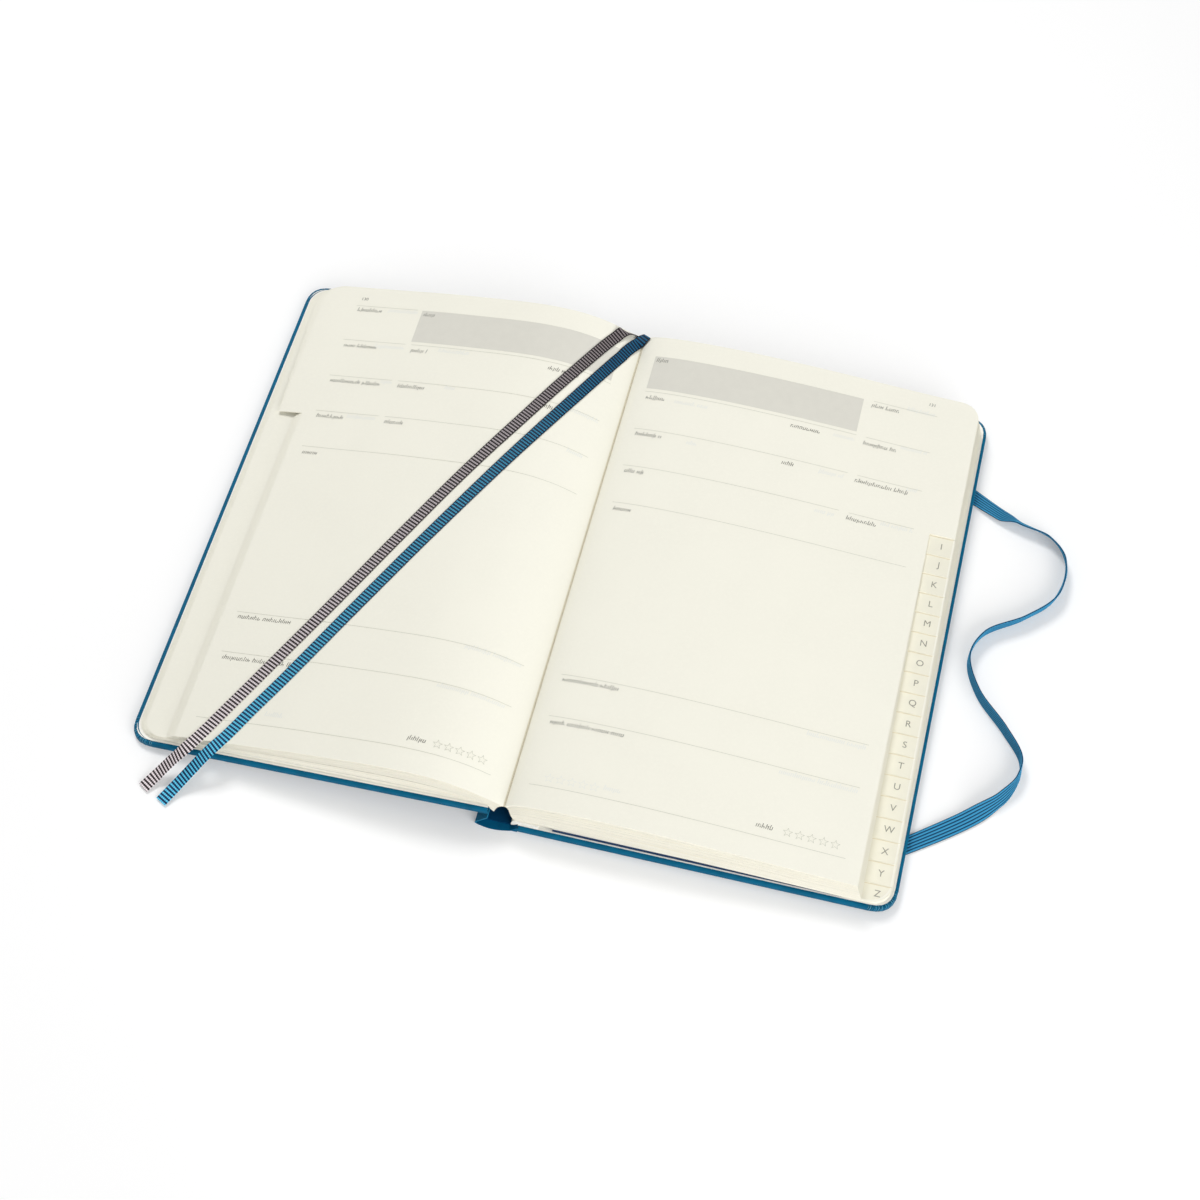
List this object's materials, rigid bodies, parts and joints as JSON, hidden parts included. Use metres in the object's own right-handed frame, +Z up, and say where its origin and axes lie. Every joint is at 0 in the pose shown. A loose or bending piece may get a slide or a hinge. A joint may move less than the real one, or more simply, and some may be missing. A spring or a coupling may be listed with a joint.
{
  "type": "hardcover journal",
  "caption": "Open hardcover journal with a stepped A to Z thumb index, ribbon markers, an elastic closure and a gusseted pocket; its front half folds closed.",
  "frame": {"origin": "on the table, under the middle of the open covers (bottom centre of the open case, without the free elastic loop and the ribbons)", "axes": "+X across the spread towards the right-hand fore-edge, +Y towards the head of the pages, +Z up from the table"},
  "size_m": [0.3084, 0.2308, 0.0232],
  "materials": {
    "cover_leatherette": "fine grained leatherette, satin",
    "spine_cloth": "the same covering, backed with cloth, satin",
    "grey_board": "bare greyboard",
    "gusset_cloth": "thin woven cloth, matt",
    "endpaper": "smooth uncoated paper, stiff",
    "spine_lining": "dark gauze and paper lining, matt",
    "page_paper": "cream uncoated paper, printed in grey",
    "elastic_webbing": "ribbed elastic webbing",
    "taupe_ribbon": "ribbed grosgrain, satin",
    "blue_ribbon": "ribbed grosgrain, satin"
  },
  "bodies": {
    "back_half": {"back_cover_wrap": "cover_leatherette", "back_board": "grey_board", "back_pastedown": "endpaper", "pocket_panel": "endpaper", "pocket_head_gusset": "gusset_cloth", "pocket_tail_gusset": "gusset_cloth", "back_flyleaf": "page_paper", "back_matter": "page_paper", "section_z": "page_paper", "section_y": "page_paper", "section_x": "page_paper", "section_w": "page_paper", "section_v": "page_paper", "section_u": "page_paper", "section_t": "page_paper", "section_s": "page_paper", "section_r": "page_paper", "section_q": "page_paper", "section_p": "page_paper", "section_o": "page_paper", "section_n": "page_paper", "section_m": "page_paper", "section_l": "page_paper", "section_k": "page_paper", "section_j": "page_paper", "section_i": "page_paper", "section_h_right": "page_paper", "leaf_page_131": "page_paper", "spine_lining_back": "spine_lining", "elastic_head_anchor": "elastic_webbing", "elastic_tail_anchor": "elastic_webbing"},
    "front_half": {"front_cover_wrap": "cover_leatherette", "front_board": "grey_board", "front_pastedown": "endpaper", "front_flyleaf": "page_paper", "front_matter": "page_paper", "section_a": "page_paper", "section_b": "page_paper", "section_c": "page_paper", "section_d": "page_paper", "section_e": "page_paper", "section_f": "page_paper", "section_g": "page_paper", "section_h_left": "page_paper", "leaf_page_130": "page_paper", "spine_lining_front": "spine_lining", "ribbon_taupe": "taupe_ribbon", "ribbon_blue": "blue_ribbon"},
    "spine": {"spine_cloth": "spine_cloth", "spine_strip": "spine_cloth"},
    "front_joint": {"joint_cloth": "spine_cloth"},
    "elastic": {"elastic_loop": "elastic_webbing"}
  },
  "joints": [
    {"name": "front_fold", "type": "hinge", "parent": "spine", "child": "front_half", "pos_m": [-0.0105, 0, 0.01796], "axis": [0, 1, 0], "range_deg": [0, 123]},
    {"name": "spine_turn", "type": "hinge", "parent": "back_half", "child": "spine", "pos_m": [0.005, 0, 0.0005], "axis": [0, 1, 0], "range_deg": [0, 55.5]},
    {"name": "joint_turn", "type": "hinge", "parent": "front_half", "child": "front_joint", "pos_m": [-0.00523, 0, 0.00735], "axis": [0, 1, 0], "range_deg": [-166.5, 0]},
    {"name": "elastic_lift", "type": "hinge", "parent": "back_half", "child": "elastic", "pos_m": [0.1354, 0, 0.0009], "axis": [0, -1, 0], "range_deg": [0, 65]}
  ],
  "couplings": [
    {"joint": "spine_turn", "follows": "front_fold", "ratio": 0.44715},
    {"joint": "joint_turn", "follows": "front_fold", "ratio": -1.3496}
  ]
}
